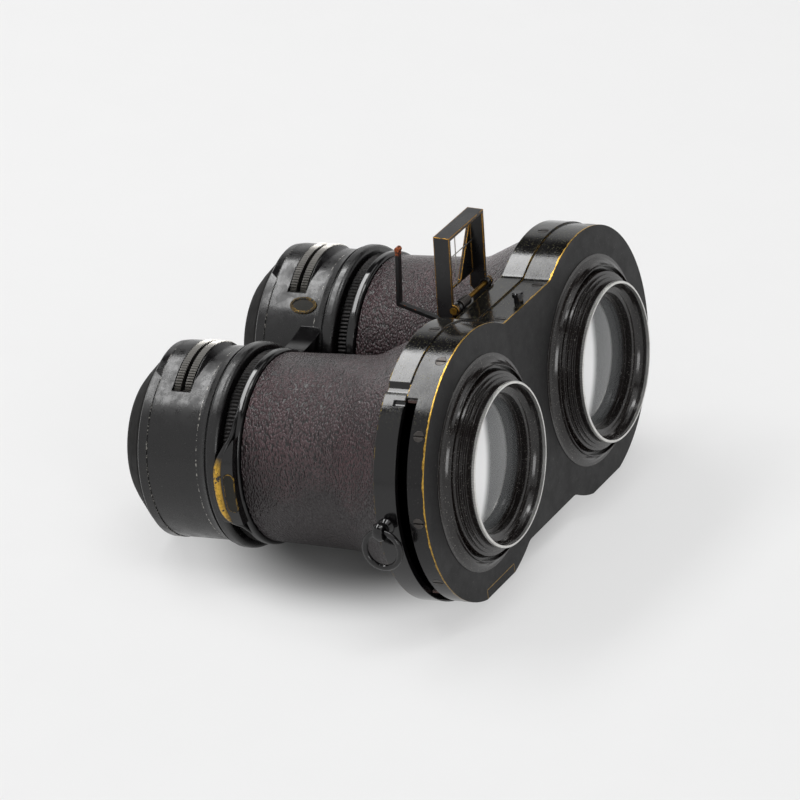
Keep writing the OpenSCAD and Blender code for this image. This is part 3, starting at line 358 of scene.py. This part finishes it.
def grained_leather():
    """Goatskin pasted on the barrels: creased pebbles under a millimetre wide, in dark plum.

    It has painted shade: darker on the surfaces that look down, and darker in the creases
    between the pebbles.
    """
    made, tree, place = blank("grained_goat_leather")
    # The grid of pebbles is bent a little everywhere, and drawn out round the barrels
    drift = add(tree, "ShaderNodeTexNoise", {"Vector": place, "Scale": 0.35, "Detail": 3})
    pull = vector_maths(tree, "SUBTRACT", drift.outputs["Color"], (0.5, 0.5, 0.5))
    spread = vector_maths(tree, "MULTIPLY", pull, (1.1, 1.1, 1.1))
    bent = vector_maths(tree, "ADD", place, spread)
    drawn = vector_maths(tree, "MULTIPLY", bent, (0.85, 1.5, 0.85))
    pebbles = add(tree, "ShaderNodeTexVoronoi", {"Vector": drawn, "Scale": 1.4,
                                                 "Smoothness": 0.2}, feature="SMOOTH_F1")
    off = pebbles.outputs["Distance"]
    domes = scaled(tree, off, 0.05, 0.8, low=1.0, high=0.0)
    smooth = scaled(tree, off, 0.42, 0.72, low=1.0, high=0.0)
    fine = noise_of(tree, drawn, 2.6, 4, 0.65)
    # Painted shade: the surfaces that look down are darker
    painted_underside_shade = scaled(tree, facing_of(tree)["Z"], -0.6, 0.5, low=-0.42, high=0.04)
    shade = maths(tree, "ADD", noise_of(tree, place, 0.07, 3, 0.55), painted_underside_shade)
    hide = mixed(tree, scaled(tree, shade, 0.25, 0.66), linear("#211a1c"), linear("#483538"))
    # Painted shade in the creases: the edges of the pebbles are darker than their middles
    creased = mixed(tree, smooth, linear("#181213"), hide)
    nicks = scaled(tree, noise_of(tree, place, 0.9, 6, 0.8), 0.72, 0.78, high=0.55)
    skin = mixed(tree, nicks, creased, linear("#9c8c88"))
    heights = maths(tree, "MULTIPLY_ADD", fine, 0.2, domes)
    surface(tree, {"Base Color": skin, "Roughness": scaled(tree, fine, 0.3, 0.7, 0.15, 0.3),
                   "Specular IOR Level": 0.45, "Normal": relief(tree, heights, 0.3, 1.0)})
    return made


def turned_metal(name, colour, stain, rough, rim=0.1, grime=0.35):
    """Turned metal, plated or bare: an even shine, painted shade in its hollows, small stains.
    """
    made, tree, place = blank(name)
    marks = noise_of(tree, place, 0.5, 4, 0.6)
    # Painted shade: the stain colour also darkens the hollows, by how closed in they are
    hollows = scaled(tree, openness(tree, 0.5), 0.85, 0.3)
    stains_and_painted_shade = maths(tree, "MAXIMUM", hollows, scaled(tree, marks, 0.5, 0.75, high=grime))
    sockets = {"Base Color": mixed(tree, stains_and_painted_shade, linear(colour), linear(stain)), "Metallic": 1.0,
               "Roughness": scaled(tree, marks, 0.3, 0.7, rough, rough + 0.12)}
    if rim:
        sockets["Normal"] = rounded(tree, rim)
    surface(tree, sockets)
    return made


def crown_glass(name, bloom):
    """Crown glass ground and polished: clear, with a painted reflection, a pale milky crescent
    creeping in from one side, as strong as the bloom.
    """
    made, tree, place = blank(name)
    at = parts_of(tree, place)
    axis = maths(tree, "MULTIPLY", maths(tree, "SIGN", at["X"]), HALF)
    off = maths(tree, "SUBTRACT", at["X"], axis)
    slant = maths(tree, "MULTIPLY_ADD", at["Z"], -0.3, off)
    # Painted reflection: a pale crescent on the left side of each glass, as strong as the bloom
    painted_reflection = scaled(tree, slant, -0.16 * GLASS_R, -0.4 * GLASS_R, high=bloom, curve="SMOOTHSTEP")
    dust = scaled(tree, noise_of(tree, place, 2.4, 4, 0.7), 0.72, 0.76, high=0.35)
    painted_reflection_and_dust = maths(tree, "MAXIMUM", painted_reflection, dust)
    smear = scaled(tree, noise_of(tree, place, 0.5, 6, 0.7), 0.35, 0.75, 0.03, 0.1)
    surface(tree, {"Base Color": mixed(tree, painted_reflection_and_dust, linear("#8f9192"), linear("#ffffff")),
                   "Roughness": smear, "IOR": 1.52,
                   "Transmission Weight": scaled(tree, painted_reflection_and_dust, 0, 1, low=0.72, high=0.05)})
    return made


def matt_black():
    """Flat black paint brushed inside: swallows light, with a faint grey bloom."""
    made, tree, place = blank("matt_black_paint")
    bloom = noise_of(tree, place, 0.8, 5, 0.7)
    surface(tree, {"Base Color": mixed(tree, bloom, linear("#080808"), linear("#151414")),
                   "Roughness": 0.72, "Specular IOR Level": 0.3,
                   "Normal": relief(tree, bloom, 0.03, 0.3)})
    return made


def cotton_velvet():
    """Cotton velvet glued in the light trap: short nap, brown black with a soft sheen."""
    made, tree, place = blank("woven_cotton_velvet")
    nap = noise_of(tree, place, 4, 5, 0.8)
    surface(tree, {"Base Color": mixed(tree, nap, linear("#1a0f0d"), linear("#5c3a30")),
                   "Roughness": 0.9, "Sheen Weight": 0.6,
                   "Normal": relief(tree, nap, 0.2, 0.8)})
    return made


def turned_vulcanite():
    """Hard black rubber turned and worn dull: faint turning rings, browned a little."""
    made, tree, place = blank("turned_vulcanite")
    age = noise_of(tree, place, 0.3, 5, 0.7)
    # A ring every 0.7 mm
    rings = maths(tree, "SINE", maths(tree, "MULTIPLY", parts_of(tree, place)["Y"], 9.0))
    surface(tree, {"Base Color": mixed(tree, age, linear("#0b0b0b"), linear("#161413")),
                   "Roughness": scaled(tree, age, 0.3, 0.7, 0.5, 0.65),
                   "Specular IOR Level": 0.05, "Normal": relief(tree, rings, 0.01, 0.15)})
    return made


gloss = stoved_lacquer("stoved_black_lacquer")
front = stoved_lacquer("stoved_black_lacquer_cover", gloss=0.1, level=0.33, satin=0.4, peel=0.05,
                       chipped=1.3, dusty=True, wear=cover_edge_wear, metal="#c9a24a")
band = stoved_lacquer("stoved_black_lacquer_band", peel=0.05, dusty=True, wear=band_edge_wear,
                      metal="#8a7a3c")
mount = stoved_lacquer("stoved_black_lacquer_mount", colour="#120e0d", gloss=0.1, peel=0.03,
                       chipped=1.8)
drum = stoved_lacquer("stoved_black_lacquer_drum", gloss=0.15, haze=0.3, peel=0.03,
                      polished=True, chipped=1.1, seams=(BEVEL_END, RIM_SEAM))
ring = stoved_lacquer("stoved_black_lacquer_ring", wear=ridged_grip, metal="#1f1e1e",
                      stain="#101010")
lip = stoved_lacquer("stoved_black_lacquer_lip", gloss=0.08, wear=lip_wear, metal="#cfa548",
                     stain="#8f6f2c")
handled = stoved_lacquer("stoved_black_lacquer_handled", gloss=0.25, rim=0.45, bare=0.95,
                         metal="#cf9a3c", stain="#a8762c")
copper = stoved_lacquer("stoved_black_lacquer_on_copper", gloss=0.3, rim=0.3, bare=0.4,
                        wear=sight_wear, metal="#c26c45", stain="#7a4230")
plate = stoved_lacquer("etched_brass_plate", colour="#131109", gloss=0.5, level=0.3,
                       chipped=1.3, rim=0.5, bare=0.8, metal="#b08d3e")
leather = grained_leather()
nickel = turned_metal("turned_nickel_plate", "#d8d7d4", "#3a3836", 0.3, rim=0, grime=0.3)
german = turned_metal("milled_german_silver", "#8b8985", "#0a0909", 0.24, rim=0, grime=0.2)
brass = turned_metal("turned_brass", "#8d6a2a", "#1d150a", 0.34, grime=0.95)
wire = turned_metal("drawn_nickel_wire", "#c9c6c0", "#6a6662", 0.3, rim=0, grime=0.3)
steel = turned_metal("blued_steel", "#4b4846", "#141312", 0.3)
# Here the bloom is the strength of the painted reflection: nearly full on the objectives, none
# on the eye and taking lenses
glass = crown_glass("polished_crown_glass", bloom=0.95)
eye = crown_glass("polished_crown_glass_eye", bloom=0.0)
inner = matt_black()
velvet = cotton_velvet()
rubber = turned_vulcanite()

LOOKS = {
    "body_frame": band, "front_cover": front, "front_frame": gloss, "plate_rails": inner,
    "slot_velvet": velvet, "cover_screws": steel, "band_screws": steel,
    "mount": mount, "front_ring": nickel, "retaining_ring": inner, "object_glass": glass,
    "barrel": gloss, "leather": leather, "focus_ring": ring, "scale_plate": plate,
    "drum": drum, "drum_bridge": gloss, "drum_cap": drum, "eyecup": rubber,
    "turret_wheel": german, "eye_lens": eye, "taking_lens": eye, "stop_wheel": german,
    "wheel_axle": brass, "shutter_blade": inner, "shutter_button": nickel,
    "badge_plates": plate, "finder_base": gloss, "finder_pin": brass,
    "finder_frame": handled, "finder_wires": wire, "finder_spring": steel,
    "rear_sight": copper, "sight_pin": brass, "catch_button": gloss,
    "strap_stud": gloss, "strap_ring": gloss,
}

# The finger tab's lip at stops round the barrel: degrees from outside, then in millimetres its
# station, its distance from the axis, its half width and its half height
LIP_STOPS = (
    (56, FLANGE_END - 0.75, FLANGE_R - 0.35, 0.25, 0.2),
    (42, FLANGE_END - 0.65, FLANGE_R - 0.15, 0.45, 0.4),
    (30, FLANGE_END - 0.35, FLANGE_R + 0.4, 0.6, 0.5),
    (22, FLANGE_END + 0.7, TAB_R - 0.9, 0.75, 0.55),
    (15, FLANGE_END + 1.9, TAB_R - 0.2, 0.9, 0.6),
    (8, FLANGE_END + 2.45, TAB_R - 0.1, 1.05, 0.62),
    (-6, FLANGE_END + 2.45, TAB_R - 0.1, 1.05, 0.62),
    (-15, FLANGE_END + 2.1, TAB_R - 0.15, 0.95, 0.6),
    (-22, FLANGE_END + 0.9, TAB_R - 0.6, 0.8, 0.55),
    (-29, FLANGE_END - 0.2, FLANGE_R + 0.5, 0.6, 0.45),
    (-40, FLANGE_END - 0.65, FLANGE_R - 0.25, 0.25, 0.2),
)
# Rows from each stop to the next, and points round each row
LIP_STEPS = 6
LIP_SIDES = 12


def smooth_rows(stops, steps):
    """Rows on a Catmull-Rom curve through the stops, that many steps from each to the next."""
    last = len(stops) - 1
    rows = []
    for k in range(last * steps + 1):
        n = min(k // steps, last - 1)
        f = k / steps - n
        four = [stops[max(0, min(last, n + m))] for m in (-1, 0, 1, 2)]
        rows.append([0.5 * (2 * b + (c - a) * f + (2 * a - 5 * b + 4 * c - d) * f * f
                            + (3 * b - a - 3 * c + d) * f ** 3) for a, b, c, d in zip(*four)])
    return rows


def put(name, data):
    """A new object with that data, in the scene."""
    made = bpy.data.objects.new(name, data)
    bpy.context.scene.collection.objects.link(made)
    return made


def lip_points(rows, sense):
    """Points round the lip at each row. The sense is minus one at the left, one at the right."""
    spine = [Vector((sense * (HALF + far * math.cos(math.radians(turn))), back,
                     far * math.sin(math.radians(turn)))) for turn, back, far, _, _ in rows]
    points = []
    for k, (turn, _, _, wide, high) in enumerate(rows):
        along = (spine[min(k + 1, len(spine) - 1)] - spine[max(k - 1, 0)]).normalized()
        out = Vector((sense * math.cos(math.radians(turn)), 0, math.sin(math.radians(turn))))
        out = (out - along * out.dot(along)).normalized()
        across = along.cross(out)
        for m in range(LIP_SIDES):
            a = 2 * math.pi * m / LIP_SIDES
            points.append(spine[k] + across * (wide * math.cos(a)) + out * (high * math.sin(a)))
    return points


def tube_faces(count, sides):
    """Faces of a closed tube of that many rows of points, with that many points in each."""
    faces = []
    for k in range(count - 1):
        for m in range(sides):
            a, b = k * sides + m, k * sides + (m + 1) % sides
            faces.append((a, b, b + sides, a + sides))
    faces.append(tuple(range(sides)))
    faces.append(tuple(reversed(range((count - 1) * sides, count * sides))))
    return faces


def finger_lip(side):
    """Rounded lip of the finger tab, which runs on along the flange's rear edge."""
    rows = smooth_rows(LIP_STOPS, LIP_STEPS)
    points = lip_points(rows, -1 if side == "left" else 1)
    lean = Matrix.Rotation(-TILT, 4, "X")
    stand = Matrix.Translation((0, AHEAD, LIFT)) @ lean @ Matrix.Scale(MM, 4)
    mesh = bpy.data.meshes.new("finger_lip_" + side)
    mesh.from_pydata([stand @ p for p in points], [], tube_faces(len(rows), LIP_SIDES))
    mesh.update()
    shape = bmesh.new()
    shape.from_mesh(mesh)
    bmesh.ops.recalc_face_normals(shape, faces=shape.faces)
    shape.to_mesh(mesh)
    shape.free()
    mesh.polygons.foreach_set("use_smooth", [True] * len(mesh.polygons))
    mesh.materials.append(lip)
    made = put("finger_lip_" + side, mesh)
    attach(made, "focus_" + side)


def lit_table():
    """A wide table of opal acrylic that glows on its own, painted light that lifts the shadows
    on it, with a painted soft shadow where the glow is masked under the camera.
    """
    mesh = bpy.data.meshes.new("lit_table")
    mesh.from_pydata([(x * TABLE_REACH, y * TABLE_REACH, 0)
                      for x, y in ((-1, -1), (1, -1), (1, 1), (-1, 1))], [], [(0, 1, 2, 3)])
    opal, tree, place = blank("cast_opal_acrylic")
    tone = mixed(tree, noise_of(tree, place, 0.05, 3), linear("#999999"), linear("#9c9c9c"))
    # Painted shadow: the glow falls to its least inside the ellipse under the camera
    aside = vector_maths(tree, "SUBTRACT", place, (SHADE_X, SHADE_Y, 0.0))
    shares = vector_maths(tree, "MULTIPLY", aside, (1 / SHADE_WIDE, 1 / SHADE_LONG, 0.0))
    glow = scaled(tree, vector_maths(tree, "LENGTH", shares), SHADE_FROM, SHADE_TO,
                  GLOW_LEAST, GLOW_FULL, curve="SMOOTHSTEP")
    surface(tree, {"Base Color": tone, "Roughness": 0.9, "Specular IOR Level": 0.1,
                   "Emission Color": linear("#ffffff"), "Emission Strength": glow})
    mesh.materials.append(opal)
    put("lit_table", mesh)


def softbox(name, towards, away, wide, high, power):
    """A soft lamp in that direction from the middle of the scene, in metres and watts."""
    lamp = bpy.data.lights.new(name, "AREA")
    lamp.shape = "RECTANGLE"
    lamp.size = wide
    lamp.size_y = high
    lamp.energy = power
    made = put(name, lamp)
    made.location = Vector(towards).normalized() * away
    made.rotation_euler = made.location.to_track_quat("Z", "Y").to_euler()


def pale_room(walls, ceiling):
    """White paper walls round the table, highest on the left, under a dim ceiling."""
    world = bpy.data.worlds.new("pale_room")
    bpy.context.scene.world = world
    world.use_nodes = True
    tree = world.node_tree
    # The walls end about 28 degrees up, and far higher on the left
    to = parts_of(tree, add(tree, "ShaderNodeTexCoord").outputs["Generated"])
    left = maths(tree, "MINIMUM", to["X"], 0.0)
    rise = maths(tree, "MULTIPLY_ADD", left, 0.6, to["Z"])
    paper = tree.nodes["Background"]
    paper.inputs["Color"].default_value = linear("#ffffff")
    tree.links.new(scaled(tree, rise, 0.42, 0.52, walls, ceiling), paper.inputs["Strength"])


def photo_camera(azimuth, elevation, roll, distance, aim, lens):
    """The camera at the photograph's place, in degrees, metres and millimetres of lens."""
    a, e = math.radians(azimuth), math.radians(elevation)
    back = Vector((math.sin(a) * math.cos(e), -math.cos(a) * math.cos(e), math.sin(e)))
    level = Vector((math.cos(a), math.sin(a), 0))
    right = Matrix.Rotation(math.radians(roll), 3, back) @ level
    up = back.cross(right)
    data = bpy.data.cameras.new("photo_camera")
    data.lens = lens
    data.sensor_width = 36
    data.clip_end = 20
    made = put("photo_camera", data)
    made.matrix_world = Matrix.Translation(Vector(aim) + back * distance) @ Matrix(
        (right, up, back)).transposed().to_4x4()
    bpy.context.scene.camera = made


for side in ("left", "right"):
    finger_lip(side)

for name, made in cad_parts.items():
    look = LOOKS[name.replace("_left", "").replace("_right", "")]
    made.data.materials.clear()
    made.data.materials.append(look)

lit_table()
photo_camera(azimuth=-64.385, elevation=25.890, roll=-0.187, distance=1.5406,
             aim=(-0.016364, -0.010568, 0.038772), lens=280.34)
softbox("rear_top_softbox", (0.02, 0.56, 0.83), away=1.3, wide=1.2, high=0.25, power=9)
softbox("overhead_softbox", (0.1, -0.15, 1.0), away=1.3, wide=1.7, high=0.9, power=6)
softbox("overhead_strip", (-0.05, -0.05, 1.0), away=1.2, wide=0.8, high=0.16, power=3)
softbox("left_softbox", (-0.62, -0.6, 0.36), away=1.3, wide=0.25, high=0.5, power=2)
pale_room(walls=0.8, ceiling=0.04)
bpy.context.scene.view_settings.view_transform = "Standard"
